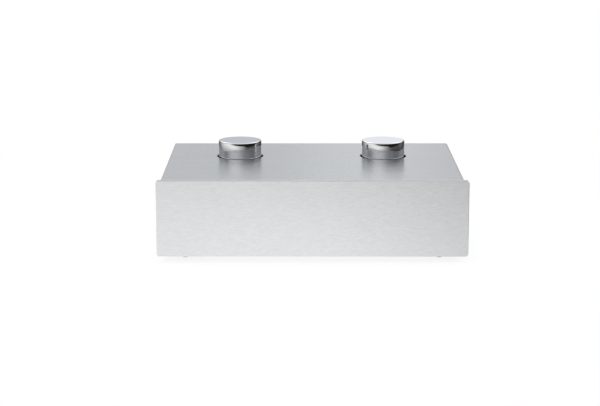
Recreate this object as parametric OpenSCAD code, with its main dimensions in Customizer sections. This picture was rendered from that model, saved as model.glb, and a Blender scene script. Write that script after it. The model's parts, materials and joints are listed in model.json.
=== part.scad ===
// Desktop step-up transformer for a record player's moving coil pickup.
// A folded steel case with a thick brushed front panel holds a circuit board. Two drawn screening cans,
// one for each channel, stand on the board and reach up through round holes in the cover.
// X runs to the right, Y from front to back and Z up. The origin is on the table, at the footprint's middle.
// Lengths are in millimetres. Left and right are as seen from the front.

/* [Case] */
// Width of the front panel
panel_w = 206; // [202:1:230]
// Height of the front panel
panel_h = 51; // [50:1:60]
// Thickness of the front panel
panel_t = 4; // [3.5:0.5:6]
// Rounding of the front panel's corners
panel_corner_r = 2; // [1:0.5:4]
// Depth of the whole case, from the front panel's face to the cover's rear edge
case_d = 149.5; // [149:0.5:180]
// How far the front panel stands out past each side of the cover
panel_overhang = 2.75; // [1:0.25:3.5]
// How far the cover's top lies under the front panel's top edge
cover_drop = 0.2; // [0:0.1:1]
// Thickness of the folded sheet of the cover and the tray
sheet_t = 1.5; // [1:0.1:1.8]
// Thickness of the rear panel
rear_panel_t = 2; // [1.5:0.5:3]

/* [Feet] */
// Height of the front panel's lower edge above the table
ground_gap = 4; // [3:0.5:8]
// Radius of a foot's dome
foot_r = 5.5; // [5:0.5:7]
// Distance of a foot's axis from the side of the front panel
foot_side_inset = 18; // [17:1:33]
// Distance of the feet from the front panel's face, and from the cover's rear edge
foot_inset = 17; // [15:0.5:28]

/* [Transformers] */
// Radius of a screening can
can_r = 15; // [14:0.1:16]
// Height of the can that shows above the cover
can_proud = 11.3; // [5:0.1:20]
// Sideways place of a can's axis, as a share of half the front panel's width
can_place_share = 0.49; // [0.39:0.01:0.58]
// Distance of the cans' axes from the cover's rear edge
can_rear_inset = 53.5; // [51.5:0.5:68]
// Gap between a can and the edge of its hole in the cover
can_hole_gap = 1.3; // [0.6:0.1:3]
// Wall of a can
can_wall = 1; // [0.6:0.1:1.2]
// Depth of a core's limb, front to back
limb_d = 7.6; // [6:0.2:9]

/* [Circuit board] */
// Thickness of the circuit board
board_t = 1.6; // [1:0.2:2]
// Height of the board's underside above the tray's floor
board_rise = 6.4; // [6:0.2:8]

/* [Rear sockets] */
// Sideways place of the input sockets, as a share of half the rear panel's width
input_place_share = 0.295; // [0.275:0.005:0.315]
// Sideways place of the output sockets, as a share of half the rear panel's width
output_place_share = 0.51; // [0.48:0.005:0.515]
// Sideways place of the balanced sockets, as a share of half the rear panel's width
balanced_place_share = 0.79; // [0.775:0.005:0.8]
// Radius of the sleeve that a phono plug grips
sleeve_r = 4.15; // [4:0.05:4.3]
// Length of the sleeve that a phono plug grips
sleeve_l = 8; // [7:0.5:10]
// Radius of the hole that takes a phono plug's pin
pin_hole_r = 1.65; // [1.5:0.05:1.8]
// Radius of a balanced socket's cavity
cavity_r = 8.2; // [8:0.1:8.5]
// Depth of a balanced socket's cavity
cavity_depth = 14; // [12:0.5:16]

/* [Ratio switches] */
// Sideways place of the ratio switches, as a share of half the rear panel's width
switch_place_share = 0.1; // [0.095:0.005:0.12]
// Length of a lever from its pivot to its tip
lever_l = 14; // [11:0.5:14]
// Swing of a lever to each side of straight
lever_swing = 12.5; // [8:0.5:13]

/* [Ground post] */
// Radius of the ground post's stud
stud_r = 2; // [1.5:0.1:2.5]
// Reach of the stud behind the rear panel
stud_reach = 19.1; // [18.6:0.1:24]
// Radius of the thumb nut
thumb_nut_r = 6; // [5:0.5:6.5]
// Length of the thumb nut
thumb_nut_l = 9; // [6:0.5:10]

/* [Hidden] */

$fn = 48;
small_fn = 24;
left = -1;
right = 1;
sides = [left, right];

// Running past a face when something is cut
overrun = 1;
// Gap between sheets that slide past each other
sheet_gap = 0.3;
// Gap round a screw's thread in its tapped hole
thread_gap = 0.05;
// Gap round a screw's shank, a pin or a collar in a plain hole
hole_gap = 0.1;
// Gap round a socket's body where it passes the board or the tray
body_gap = 0.3;

// Case
panel_chamfer = 0.3;
fold_r = 1.8;
floor_lift = 0.5;
lip_h = 7;
lip_gap = 0.1;
tray_side_h = 12;
tray_rear_gap = 0.5;
fold_relief = 1;
panel_top_z = ground_gap + panel_h;
floor_z = ground_gap + floor_lift;
floor_top_z = floor_z + sheet_t;
cover_w = panel_w - 2 * panel_overhang;
cover_top_z = panel_top_z - cover_drop;
cover_under_z = cover_top_z - sheet_t;
cover_front_y = panel_t + lip_gap;
tray_w = cover_w - 2 * (sheet_t + sheet_gap);
rear_outer_y = case_d - sheet_t - lip_gap;
rear_inner_y = rear_outer_y - rear_panel_t;
inside_top_z = cover_under_z - sheet_gap;
lip_bottom_z = cover_top_z - lip_h;
total_d = rear_outer_y + stud_reach;

// Screws of the case, all of one thread
screw_r = 1.45;
screw_head_r = 2.8;
screw_head_h = 1.65;
screw_socket_r = 1.15;
screw_socket_depth = 1;
// Radius of the head's dome, as a share of the head's own radius
button_dome_share = 1.3;
front_screw_l = 4.2;
front_screw_side_inset = 23;
front_screw_inset = 10;
cover_screw_l = 5.5;
cover_screw_rise = 6;
cover_screw_front_y = 35;
cover_screw_rear_inset = 35;
rear_screw_l = 7;
rear_screw_rise = 4.5;
rear_screw_inset = 4;
lip_screw_place_share = 0.6;
lip_screw_l = 5.5;

// Feet
foot_x = panel_w / 2 - foot_side_inset;
foot_flat_r = 1;
foot_dome_z = sqrt(foot_r * foot_r - foot_flat_r * foot_flat_r);

// Circuit board
board_side_gap = 4;
board_front_y = 22;
board_rear_gap = 0.6;
board_z = floor_top_z + board_rise;
board_top_z = board_z + board_t;
board_w = tray_w - 2 * (sheet_t + board_side_gap);
board_rear_y = rear_inner_y - sheet_t - board_rear_gap;
standoff_inset = 5;
standoff_front_inset = 14;
standoff_behind_can = 12;
standoff_front_y = board_front_y + standoff_front_inset;
can_x = can_place_share * panel_w / 2;
can_y = case_d - can_rear_inset;
standoff_rear_y = can_y + standoff_behind_can;
standoff_r = 3;
standoff_shank_r = 2;
board_screw_l = 5;
lead_r = 0.3;
lead_below = 1.2;
resistor_r = 1.2;
resistor_l = 6.4;
resistor_span = 10.2;
resistor_behind_can = 21;
resistor_inside_can = 8.5;
resistor_pitch = 5;
resistor_x = can_x - resistor_inside_can;
resistor_y = can_y + resistor_behind_can;

// Transformers
can_edge_r = 0.6;
can_hole_chamfer = 0.2;
can_tab_w = 3;
can_tab_l = 3;
can_tab_gap = 0.2;
can_top_z = cover_top_z + can_proud;
can_inner_r = can_r - can_wall;
can_inner_top_z = can_top_z - can_wall;
base_h = 4;
base_gap = 0.2;
pad_t = 2.5;
pad_gap = 0.4;
pin_r = 0.4;
pin_circle_r = 11;
pin_count = 8;
pin_below = 1.4;
former_clear = 0.2;
former_wall = 0.6;
former_flange_t = 0.8;
former_gap = 0.2;
winding_gap = 0.05;
primary_build = 1;
secondary_build = 1.6;
flange_lip = 0.15;
can_reach_gap = 0.4;
core_corner_r = 2;
window_corner_r = 0.5;
core_split = 0.04;
primary_grow = former_clear + former_wall + winding_gap;
secondary_grow = primary_grow + primary_build + winding_gap;
flange_grow = secondary_grow + secondary_build + flange_lip;
window_w = 2 * flange_grow + former_gap;
limb_corner_reach = can_inner_r - can_reach_gap - flange_grow;
limb_w = sqrt(pow(limb_corner_reach, 2) - pow(limb_d / 2, 2)) - window_w / 2;
limb_x = (window_w + limb_w) / 2;
core_w = window_w + 2 * limb_w;
core_z = board_top_z + base_h;
core_h = can_inner_top_z - pad_t - core_z;
window_h = core_h - 2 * limb_w;
core_mid_z = core_z + core_h / 2;
former_h = window_h - 2 * former_gap;
former_z = core_z + limb_w + former_gap;

// Phono sockets
input_x = input_place_share * tray_w / 2;
output_x = output_place_share * tray_w / 2;
socket_rise = 11;
socket_z = board_top_z + socket_rise;
socket_thread_r = 4.5;
socket_thread_past = 0.3;
socket_nut_af = 11;
socket_nut_t = 2.2;
socket_washer_r = 6.3;
socket_washer_t = 0.8;
socket_block_w = 13;
socket_block_d = 13;
socket_block_over = 6.5;
socket_tail = 0.8;
socket_leg_w = 2.4;
sleeve_wall = 0.65;
insulator_gap = 0.05;
insulator_set_back = 0.4;
contact_wall = 0.5;
contact_set_back = 0.9;
contact_leg_w = 1;
contact_leg_offset = 3;
sleeve_y = rear_outer_y + socket_washer_t + socket_nut_t + socket_thread_past;
sleeve_end_y = sleeve_y + sleeve_l;
block_y = rear_inner_y - socket_block_d;
socket_start_y = block_y - socket_tail;
insulator_r = sleeve_r - sleeve_wall - insulator_gap;
contact_r = pin_hole_r + contact_wall;
contact_end_y = sleeve_end_y - contact_set_back;
contact_bore_l = sleeve_l - contact_set_back;

// Balanced sockets
balanced_x = balanced_place_share * tray_w / 2;
balanced_below_lip = 3.8;
balanced_flange_w = 26;
balanced_flange_h = 31;
balanced_z = lip_bottom_z - balanced_below_lip - balanced_flange_h / 2;
balanced_flange_t = 2;
balanced_corner_r = 4;
balanced_collar_r = 10.2;
balanced_collar_t = 0.8;
balanced_body_r = 11.6;
balanced_body_l = 16;
balanced_screw_x = 9.5;
balanced_screw_z = 12;
balanced_screw_l = 8;
balanced_screw_head_r = 2.7;
balanced_screw_head_h = 1.3;
balanced_pin_r = 1.2;
balanced_pin_circle_r = 4.1;
balanced_pin_short = 3;
balanced_pin_angles = [-90, 10, 170];
balanced_pin_tip = 0.4;
insert_t = 5;
insert_gap = 0.1;
balanced_tail_w = 1;
balanced_tail_l = 2;
balanced_tail_step = 2.4;
balanced_mouth_y = rear_outer_y + balanced_flange_t + balanced_collar_t;
cavity_y = balanced_mouth_y - cavity_depth;
insert_y = cavity_y - insert_t;
balanced_body_y = rear_inner_y - balanced_body_l;

// Ratio switches
switch_x = switch_place_share * tray_w / 2;
switch_rise = 11;
switch_z = board_top_z + switch_rise;
switch_body_w = 12.7;
switch_body_h = 12;
switch_body_d = 9.5;
switch_frame_t = 1;
bushing_r = 3;
bushing_bore_r = 2.45;
bushing_reach = 8.5;
pivot_depth = 4;
switch_nut_af = 8;
switch_nut_t = 2;
ball_r = 2.2;
lever_root_r = 1.15;
lever_tip_r = 1.45;
lever_tail_r = 0.8;
lever_tail_l = 5;
pivot_pin_r = 0.5;
pivot_gap = 0.05;
pivot_pin_gap = 0.02;
terminal_w = 0.8;
terminal_pitch = 4.7;
terminal_row_z = 2.4;
terminal_reach = 2;
terminal_step = 2.5;
bushing_end_y = rear_outer_y + bushing_reach;
pivot_y = bushing_end_y - pivot_depth;
switch_body_y = rear_inner_y - switch_frame_t - switch_body_d;

// Ground post
post_below_lip = 6.5;
post_z = lip_bottom_z - post_below_lip;
post_collar_r = 5.5;
post_collar_t = 3;
post_inside_l = 6;
post_nut_af = 7;
post_nut_t = 3.2;
post_washer_r = 5;
post_washer_t = 1;
post_washer_gap = 0.15;
thumb_bore_gap = 0.08;
knurl_depth = 0.35;
knurl_count = 36;
thumb_chamfer = 0.7;
post_chamfer = 0.4;
washer_y = rear_outer_y + post_collar_t;
thumb_y = washer_y + post_washer_t;

// Helpers

// Moves the case from its own frame, which starts at the front panel's face, to the middle of the footprint
module in_frame() {
    translate([0, -total_d / 2, 0]) children();
}

// A flat rectangle with round corners, about its own middle
module rounded_rect(w, h, r) {
    square([w - 2 * r, h], center = true);
    square([w, h - 2 * r], center = true);
    for (i = sides, j = sides)
        translate([i * (w / 2 - r), j * (h / 2 - r)]) circle(r);
}

// An upright slab from y0 back to y1, with an outline drawn in X and Z
module slab(y0, y1) {
    translate([0, y1, 0]) rotate([90, 0, 0]) linear_extrude(y1 - y0) children();
}

// A round bar along Y, from y0 back to y1
module bar_y(x, z, y0, y1, r) {
    translate([x, y1, z]) rotate([90, 0, 0]) cylinder(r = r, h = y1 - y0);
}

// A solid of revolution about an axis along Y, drawn as radius and distance behind y0
module turned_y(x, z, y0) {
    translate([x, y0, z]) rotate([-90, 0, 0]) rotate_extrude() children();
}

// A tube along Y
module tube_y(x, z, y0, y1, r, bore_r) {
    difference() {
        bar_y(x, z, y0, y1, r);
        bar_y(x, z, y0 - overrun, y1 + overrun, bore_r);
    }
}

// A hexagonal nut along Y, by its width across the flats
module hex_nut_y(x, z, y0, t, af, bore_r) {
    difference() {
        translate([x, y0 + t, z]) rotate([90, 0, 0]) cylinder(r = af / sqrt(3), h = t, $fn = 6);
        bar_y(x, z, y0 - overrun, y0 + t + overrun, bore_r);
    }
}

// A button head screw that points down, with the underside of its head at the origin
module button_screw(l) {
    dome_r = screw_head_r * button_dome_share;
    difference() {
        union() {
            rotate_extrude() intersection() {
                translate([0, screw_head_h - dome_r]) circle(dome_r);
                square([screw_head_r, screw_head_h]);
            }
            translate([0, 0, -l]) cylinder(r = screw_r, h = l + screw_head_h / 2);
        }
        translate([0, 0, screw_head_h - screw_socket_depth])
            cylinder(r = screw_socket_r, h = screw_socket_depth + overrun, $fn = 6);
    }
}

// Case

// The section of a plate with both edges of its front face chamfered, as Y and one of the other directions
module chamfered_section(w, t, chamfer) {
    polygon([
        [0, w / 2 - chamfer],
        [chamfer, w / 2],
        [t, w / 2],
        [t, -w / 2],
        [chamfer, -w / 2],
        [0, chamfer - w / 2]
    ]);
}

// An upright plate with round corners and a chamfer all round its front face
module chamfered_plate(w, h, t, r, chamfer) {
    inner_w = w - 2 * r;
    inner_h = h - 2 * r;
    translate([-inner_w / 2, 0, 0]) rotate([90, 0, 90])
        linear_extrude(inner_w) chamfered_section(h, t, chamfer);
    translate([0, 0, -inner_h / 2])
        linear_extrude(inner_h) mirror([1, -1]) chamfered_section(w, t, chamfer);
    for (i = sides, j = sides)
        turned_y(i * inner_w / 2, j * inner_h / 2, 0)
            polygon([[0, 0], [r - chamfer, 0], [r, chamfer], [r, t], [0, t]]);
}

// Places what it is given at each of the front panel's screws
module at_front_screws() {
    for (side = sides, z = [floor_z + front_screw_inset, panel_top_z - front_screw_inset])
        translate([side * (panel_w / 2 - front_screw_side_inset), 0, z]) children();
}

// Thick brushed plate, with four blind tapped holes in its back
module front_panel() {
    in_frame() color("gainsboro") difference() {
        translate([0, 0, ground_gap + panel_h / 2])
            chamfered_plate(panel_w, panel_h, panel_t, panel_corner_r, panel_chamfer);
        at_front_screws()
            bar_y(0, 0, panel_t + sheet_t - front_screw_l, panel_t + overrun, screw_r + thread_gap);
    }
}

module front_panel_screws() {
    in_frame() color("silver") at_front_screws()
        translate([0, panel_t + sheet_t, 0]) rotate([-90, 0, 0]) button_screw(front_screw_l - thread_gap);
}

// The cover's outline in X and Z, at some depth inside its outer face
module cover_outline(inset) {
    w = cover_w - 2 * inset;
    top = cover_top_z - inset;
    r = max(fold_r - inset, sheet_gap);
    translate([0, (top - floor_z) / 2 + floor_z]) {
        translate([0, -r / 2]) square([w, top - floor_z - r], center = true);
        square([w - 2 * r, top - floor_z], center = true);
        for (i = sides)
            translate([i * (w / 2 - r), (top - floor_z) / 2 - r]) circle(r);
    }
}

// Places what it is given at each of the cover's side screws, with its Z pointing out of the case
module at_cover_screws() {
    for (side = sides, y = [cover_screw_front_y, case_d - cover_screw_rear_inset])
        translate([side * cover_w / 2, y, floor_z + cover_screw_rise]) rotate([0, side * 90, 0]) children();
}

// Places what it is given at each screw through the cover's rear lip, with its Z pointing backwards
module at_lip_screws() {
    for (side = sides)
        translate([side * lip_screw_place_share * cover_w / 2, case_d, lip_bottom_z + lip_h / 2])
            rotate([-90, 0, 0]) children();
}

// Folded sheet over the top and both sides, with a lip down its rear edge and a hole for each can
module top_cover() {
    in_frame() color("silver") difference() {
        intersection() {
            difference() {
                slab(cover_front_y, case_d) cover_outline(0);
                difference() {
                    slab(cover_front_y - overrun, case_d + overrun) cover_outline(sheet_t);
                    translate([-cover_w / 2, case_d - sheet_t, lip_bottom_z])
                        cube([cover_w, sheet_t, lip_h]);
                }
                translate([-cover_w / 2 + sheet_t, cover_front_y - overrun, floor_z - overrun])
                    cube([cover_w - 2 * sheet_t, case_d + 2 * overrun, 2 * overrun]);
            }
            rear_fold();
        }
        for (side = sides) translate([side * can_x, can_y, 0]) {
            translate([0, 0, cover_under_z - overrun])
                cylinder(r = can_r + can_hole_gap, h = sheet_t + 2 * overrun);
            translate([0, 0, cover_top_z - can_hole_chamfer])
                cylinder(r1 = can_r + can_hole_gap, r2 = can_r + can_hole_gap + can_hole_chamfer + overrun,
                    h = can_hole_chamfer + overrun);
        }
        at_cover_screws() translate([0, 0, -sheet_t - overrun])
            cylinder(r = screw_r + hole_gap, h = sheet_t + 2 * overrun);
        at_lip_screws() translate([0, 0, -sheet_t - overrun])
            cylinder(r = screw_r + hole_gap, h = sheet_t + 2 * overrun);
    }
}

// A block round the whole cover, with its upper rear edge rounded by the fold
module rear_fold() {
    translate([-cover_w, 0, 0]) rotate([90, 0, 90]) linear_extrude(2 * cover_w) {
        square([case_d - fold_r, cover_top_z]);
        square([case_d, cover_top_z - fold_r]);
        translate([case_d - fold_r, cover_top_z - fold_r]) circle(fold_r);
    }
}

module cover_screws() {
    in_frame() color("silver") at_cover_screws() button_screw(cover_screw_l);
}

// Places what it is given at each of the board's pillars
module at_standoffs() {
    x = board_w / 2 - standoff_inset;
    for (x_share = [-1, 0, 1], y = [standoff_front_y, standoff_rear_y])
        translate([x_share * x, y, 0]) children();
}

// Places what it is given at each lower screw of the rear panel, with its Z pointing backwards
module at_rear_screws() {
    for (x_share = [-1, 0, 1])
        translate([x_share * (tray_w / 2 - rear_screw_inset), rear_outer_y, floor_z + rear_screw_rise])
            rotate([-90, 0, 0]) children();
}

// Folded sheet with a floor, a tall front flange, a low rear flange and two low sides
module base_tray() {
    front_y = panel_t;
    floor_d = rear_inner_y - front_y;
    side_y = front_y + sheet_t + fold_relief;
    side_d = floor_d - 2 * (sheet_t + fold_relief);
    in_frame() color("lightgray") difference() {
        union() {
            translate([-tray_w / 2, front_y, floor_z]) cube([tray_w, floor_d, sheet_t]);
            translate([-tray_w / 2, front_y, floor_z]) cube([tray_w, sheet_t, inside_top_z - floor_z]);
            translate([-tray_w / 2, rear_inner_y - sheet_t, floor_z])
                cube([tray_w, sheet_t, board_top_z - tray_rear_gap - floor_z]);
            for (side = sides)
                translate([side * (tray_w - sheet_t) / 2 - sheet_t / 2, side_y, floor_z])
                    cube([sheet_t, side_d, tray_side_h]);
        }
        at_front_screws() bar_y(0, 0, front_y - overrun, front_y + sheet_t + overrun, screw_r + hole_gap);
        at_cover_screws() translate([0, 0, -2 * sheet_t - sheet_gap - overrun])
            cylinder(r = screw_r + thread_gap, h = sheet_t + 2 * overrun);
        at_rear_screws() translate([0, 0, -rear_panel_t - sheet_t - overrun])
            cylinder(r = screw_r + thread_gap, h = sheet_t + 2 * overrun);
        at_standoffs() translate([0, 0, floor_z - overrun])
            cylinder(r = standoff_shank_r + thread_gap, h = sheet_t + 2 * overrun);
        balanced_clearance();
    }
}

// Places what it is given on the axis of each of the four phono sockets
module at_sockets() {
    for (side = sides, x = [input_x, output_x])
        translate([side * x, 0, socket_z]) children();
}

// Places what it is given at the two screws of one balanced socket, with its Z pointing backwards
module at_balanced_screws(side) {
    for (corner = sides)
        translate([side * balanced_x - corner * balanced_screw_x, rear_outer_y + balanced_flange_t,
                   balanced_z + corner * balanced_screw_z])
            rotate([-90, 0, 0]) children();
}

// The room that the balanced sockets and their screws need in the board and the tray, used in a low case
module balanced_clearance() {
    for (side = sides) {
        bar_y(side * balanced_x, balanced_z, balanced_body_y - body_gap, rear_inner_y + overrun,
              balanced_body_r + body_gap);
        at_balanced_screws(side) translate([0, 0, -balanced_screw_l - body_gap])
            cylinder(r = screw_r + body_gap, h = balanced_screw_l);
    }
}

// Flat plate behind the tray's rear flange, drilled for the sockets, switches and ground post
module rear_panel() {
    y0 = rear_inner_y - overrun;
    y1 = rear_outer_y + overrun;
    in_frame() color("silver") difference() {
        translate([-tray_w / 2, rear_inner_y, floor_z]) cube([tray_w, rear_panel_t, inside_top_z - floor_z]);
        at_sockets() bar_y(0, 0, y0, y1, socket_thread_r + hole_gap);
        for (side = sides) {
            bar_y(side * balanced_x, balanced_z, y0, y1, balanced_body_r + hole_gap);
            bar_y(side * switch_x, switch_z, y0, y1, bushing_r + hole_gap);
            at_balanced_screws(side) translate([0, 0, -balanced_screw_l - overrun])
                cylinder(r = screw_r + thread_gap, h = balanced_screw_l);
        }
        bar_y(0, post_z, y0, y1, stud_r + hole_gap);
        at_rear_screws() translate([0, 0, -rear_panel_t - overrun])
            cylinder(r = screw_r + hole_gap, h = rear_panel_t + 2 * overrun);
        at_lip_screws() translate([0, 0, -sheet_t - rear_panel_t - 2 * overrun])
            cylinder(r = screw_r + thread_gap, h = rear_panel_t + 2 * overrun);
    }
}

// Three screws into the tray and two through the cover's lip
module rear_panel_screws() {
    in_frame() color("silver") {
        at_rear_screws() button_screw(rear_screw_l);
        at_lip_screws() button_screw(lip_screw_l);
    }
}

// Feet

// Domed rubber foot that is stuck to the tray, with a small flat to stand on
module foot(side, y) {
    in_frame() color("dimgray") translate([side * foot_x, y, 0]) rotate_extrude() intersection() {
        union() {
            translate([0, foot_dome_z]) circle(foot_r);
            translate([0, foot_dome_z]) square([foot_r, floor_z]);
        }
        square([foot_r, floor_z]);
    }
}

module foot_front_left() { foot(left, foot_inset); }
module foot_front_right() { foot(right, foot_inset); }
module foot_rear_left() { foot(left, case_d - foot_inset); }
module foot_rear_right() { foot(right, case_d - foot_inset); }

// Circuit board

// Places what it is given at each of the four load resistors
module at_resistors() {
    for (side = sides, row = [0, 1])
        translate([side * resistor_x, resistor_y + row * resistor_pitch, board_top_z]) children();
}

// Places what it is given at each pin of one transformer
module at_transformer_pins(side) {
    for (i = [0 : pin_count - 1])
        translate([side * can_x, can_y, 0])
            rotate([0, 0, (i + 1 / 2) * 360 / pin_count]) translate([pin_circle_r, 0, 0]) children();
}

// The four tabs of one can, grown on each side by a gap
module can_tabs(side, gap) {
    reach = can_r - can_wall / 2;
    for (turn = [0 : 90 : 270])
        translate([side * can_x, can_y, board_top_z - can_tab_l]) rotate([0, 0, turn])
            translate([reach, 0, (can_tab_l + overrun) / 2])
                cube([can_wall + 2 * gap, can_tab_w + 2 * gap, can_tab_l + overrun], center = true);
}

// Glass fibre board with the holes that its pillars, cans, pins and sockets need
module circuit_board() {
    in_frame() color("seagreen") difference() {
        translate([-board_w / 2, board_front_y, board_z])
            cube([board_w, board_rear_y - board_front_y, board_t]);
        at_standoffs() translate([0, 0, board_z - overrun])
            cylinder(r = screw_r + hole_gap, h = board_t + 2 * overrun);
        for (side = sides) {
            can_tabs(side, can_tab_gap);
            at_transformer_pins(side) translate([0, 0, board_z - overrun])
                cylinder(r = pin_r + hole_gap, h = board_t + 2 * overrun, $fn = small_fn);
            balanced_tails(side, hole_gap);
            switch_terminals(side, hole_gap);
        }
        balanced_clearance();
        at_resistors() for (end = sides)
            translate([end * resistor_span / 2, 0, -board_t - overrun])
                cylinder(r = lead_r + hole_gap, h = board_t + 2 * overrun, $fn = small_fn);
        at_sockets() {
            socket_leg(hole_gap);
            contact_leg(hole_gap);
        }
    }
}

// Six hexagonal pillars, each pressed into the tray by a shank and tapped from above
module board_standoffs() {
    in_frame() color("khaki") at_standoffs() difference() {
        union() {
            translate([0, 0, floor_top_z]) cylinder(r = standoff_r, h = board_rise, $fn = 6);
            translate([0, 0, floor_z]) cylinder(r = standoff_shank_r, h = sheet_t + overrun);
        }
        translate([0, 0, board_z + board_t - board_screw_l - thread_gap])
            cylinder(r = screw_r + thread_gap, h = board_screw_l);
    }
}

module board_screws() {
    in_frame() color("silver") at_standoffs() translate([0, 0, board_top_z]) button_screw(board_screw_l);
}

// Four axial resistors that load the windings, each with its bent leads
module load_resistors() {
    body_z = resistor_r + hole_gap;
    in_frame() color("burlywood") at_resistors() {
        translate([0, 0, body_z]) rotate([0, 90, 0]) {
            cylinder(r = resistor_r, h = resistor_l, center = true, $fn = small_fn);
            cylinder(r = lead_r, h = resistor_span, center = true, $fn = small_fn);
        }
        for (end = sides)
            translate([end * resistor_span / 2, 0, -board_t - lead_below])
                cylinder(r = lead_r, h = board_t + lead_below + body_z + lead_r, $fn = small_fn);
    }
}

// Transformers

// The half section of a cup with a rounded upper edge
module can_section(r, h, edge_r) {
    square([r, h - edge_r]);
    square([r - edge_r, h]);
    translate([r - edge_r, h - edge_r]) circle(edge_r);
}

// Drawn can of magnetic screening alloy, open below, with four tabs that are soldered into the board
module transformer_can(side) {
    in_frame() color("lightsteelblue") difference() {
        union() {
            translate([side * can_x, can_y, board_top_z]) rotate_extrude($fn = 96) intersection() {
                can_section(can_r, can_top_z - board_top_z, can_edge_r);
                square([can_r, can_top_z]);
            }
            can_tabs(side, 0);
        }
        translate([side * can_x, can_y, board_top_z - can_tab_l - overrun])
            cylinder(r = can_inner_r, h = can_inner_top_z - board_top_z + can_tab_l + overrun);
    }
}

module transformer_can_left() { transformer_can(left); }
module transformer_can_right() { transformer_can(right); }

// Two strip-wound C halves that meet in the middle of their limbs
module transformer_core(side) {
    in_frame() color("slategray") translate([side * can_x, 0, 0]) difference() {
        slab(can_y - limb_d / 2, can_y + limb_d / 2) translate([0, core_mid_z]) difference() {
            rounded_rect(core_w, core_h, core_corner_r);
            rounded_rect(window_w, window_h, window_corner_r);
        }
        translate([0, can_y, core_mid_z])
            cube([core_w + overrun, limb_d + overrun, core_split], center = true);
    }
}

module transformer_core_left() { transformer_core(left); }
module transformer_core_right() { transformer_core(right); }

// A limb's outline in X and Y, grown all round
module limb_outline(grow) {
    rounded_rect(limb_w + 2 * grow, limb_d + 2 * grow, grow);
}

// Places what it is given at the foot of each limb of one transformer
module at_limbs(side) {
    for (limb = sides)
        translate([side * can_x + limb * limb_x, can_y, former_z]) children();
}

// A sleeve round a limb, from one distance off it to another
module limb_sleeve(inner, outer, h) {
    linear_extrude(h) difference() {
        limb_outline(outer);
        limb_outline(inner);
    }
}

// Two moulded formers, one on each limb, with a flange at each end
module coil_formers(side) {
    in_frame() color("ivory") at_limbs(side) {
        limb_sleeve(former_clear, former_clear + former_wall, former_h);
        for (z = [0, former_h - former_flange_t])
            translate([0, 0, z]) limb_sleeve(former_clear, flange_grow, former_flange_t);
    }
}

module coil_formers_left() { coil_formers(left); }
module coil_formers_right() { coil_formers(right); }

// The space of one winding on each former
module windings(side, grow, build) {
    at_limbs(side) translate([0, 0, former_flange_t + winding_gap])
        limb_sleeve(grow, grow + build, former_h - 2 * (former_flange_t + winding_gap));
}

module primary_windings(side) { in_frame() color("chocolate") windings(side, primary_grow, primary_build); }
module secondary_windings(side) { in_frame() color("peru") windings(side, secondary_grow, secondary_build); }

module primary_windings_left() { primary_windings(left); }
module primary_windings_right() { primary_windings(right); }
module secondary_windings_left() { secondary_windings(left); }
module secondary_windings_right() { secondary_windings(right); }

// Moulded disc that carries the core and its pins
module transformer_base(side) {
    in_frame() color("darkslategray") difference() {
        translate([side * can_x, can_y, board_top_z]) cylinder(r = can_inner_r - base_gap, h = base_h);
        at_transformer_pins(side) translate([0, 0, board_top_z - overrun])
            cylinder(r = pin_r + thread_gap, h = base_h + 2 * overrun, $fn = small_fn);
    }
}

module transformer_base_left() { transformer_base(left); }
module transformer_base_right() { transformer_base(right); }

// Eight pins through the base and the board
module transformer_pins(side) {
    in_frame() color("gold") at_transformer_pins(side) translate([0, 0, board_z - pin_below])
        cylinder(r = pin_r, h = pin_below + board_t + base_h, $fn = small_fn);
}

module transformer_pins_left() { transformer_pins(left); }
module transformer_pins_right() { transformer_pins(right); }

// Foam disc that holds the core down from the can's lid
module foam_pad(side) {
    in_frame() color("gray") translate([side * can_x, can_y, can_inner_top_z - pad_t])
        cylinder(r = can_inner_r - pad_gap, h = pad_t);
}

module foam_pad_left() { foam_pad(left); }
module foam_pad_right() { foam_pad(right); }

// Phono sockets

// The leg that joins a socket's sleeve to the board, grown on each side by a gap
module socket_leg(gap) {
    leg_h = socket_rise + board_t + lead_below - insulator_r;
    translate([0, socket_start_y + socket_tail / 2, -leg_h / 2 - insulator_r])
        cube([socket_leg_w + 2 * gap, socket_tail + 2 * gap, leg_h], center = true);
}

// Gold-plated sleeve with a threaded root that passes through the rear panel
module phono_socket(side, x) {
    in_frame() color("gold") translate([side * x, 0, socket_z]) difference() {
        union() {
            bar_y(0, 0, socket_start_y, sleeve_y, socket_thread_r);
            bar_y(0, 0, sleeve_y - overrun, sleeve_end_y, sleeve_r);
            socket_leg(0);
        }
        bar_y(0, 0, socket_start_y - overrun, sleeve_end_y + overrun, sleeve_r - sleeve_wall);
    }
}

module input_socket_left() { phono_socket(left, input_x); }
module input_socket_right() { phono_socket(right, input_x); }
module output_socket_left() { phono_socket(left, output_x); }
module output_socket_right() { phono_socket(right, output_x); }

// Four moulded blocks that stand on the board and hold the sockets square to the rear panel
module socket_blocks() {
    in_frame() color("darkslategray") at_sockets() difference() {
        translate([-socket_block_w / 2, block_y, -socket_rise])
            cube([socket_block_w, socket_block_d, socket_rise + socket_block_over]);
        bar_y(0, 0, block_y - overrun, rear_inner_y + overrun, socket_thread_r + thread_gap);
    }
}

// The two insulating sleeves of one channel
module socket_insulators(side) {
    for (x = [input_x, output_x])
        translate([side * x, 0, socket_z])
            tube_y(0, 0, socket_start_y, sleeve_end_y - insulator_set_back, insulator_r,
                   contact_r + insulator_gap);
}

module socket_insulators_left() { in_frame() color("white") socket_insulators(left); }
module socket_insulators_right() { in_frame() color("crimson") socket_insulators(right); }

// The leg that joins a socket's contact to the board, grown on each side by a gap
module contact_leg(gap) {
    leg_h = socket_rise + board_t + lead_below + contact_leg_w / 2;
    translate([0, socket_start_y - contact_leg_offset, contact_leg_w / 2 - leg_h / 2])
        cube([contact_leg_w + 2 * gap, contact_leg_w + 2 * gap, leg_h], center = true);
}

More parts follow.
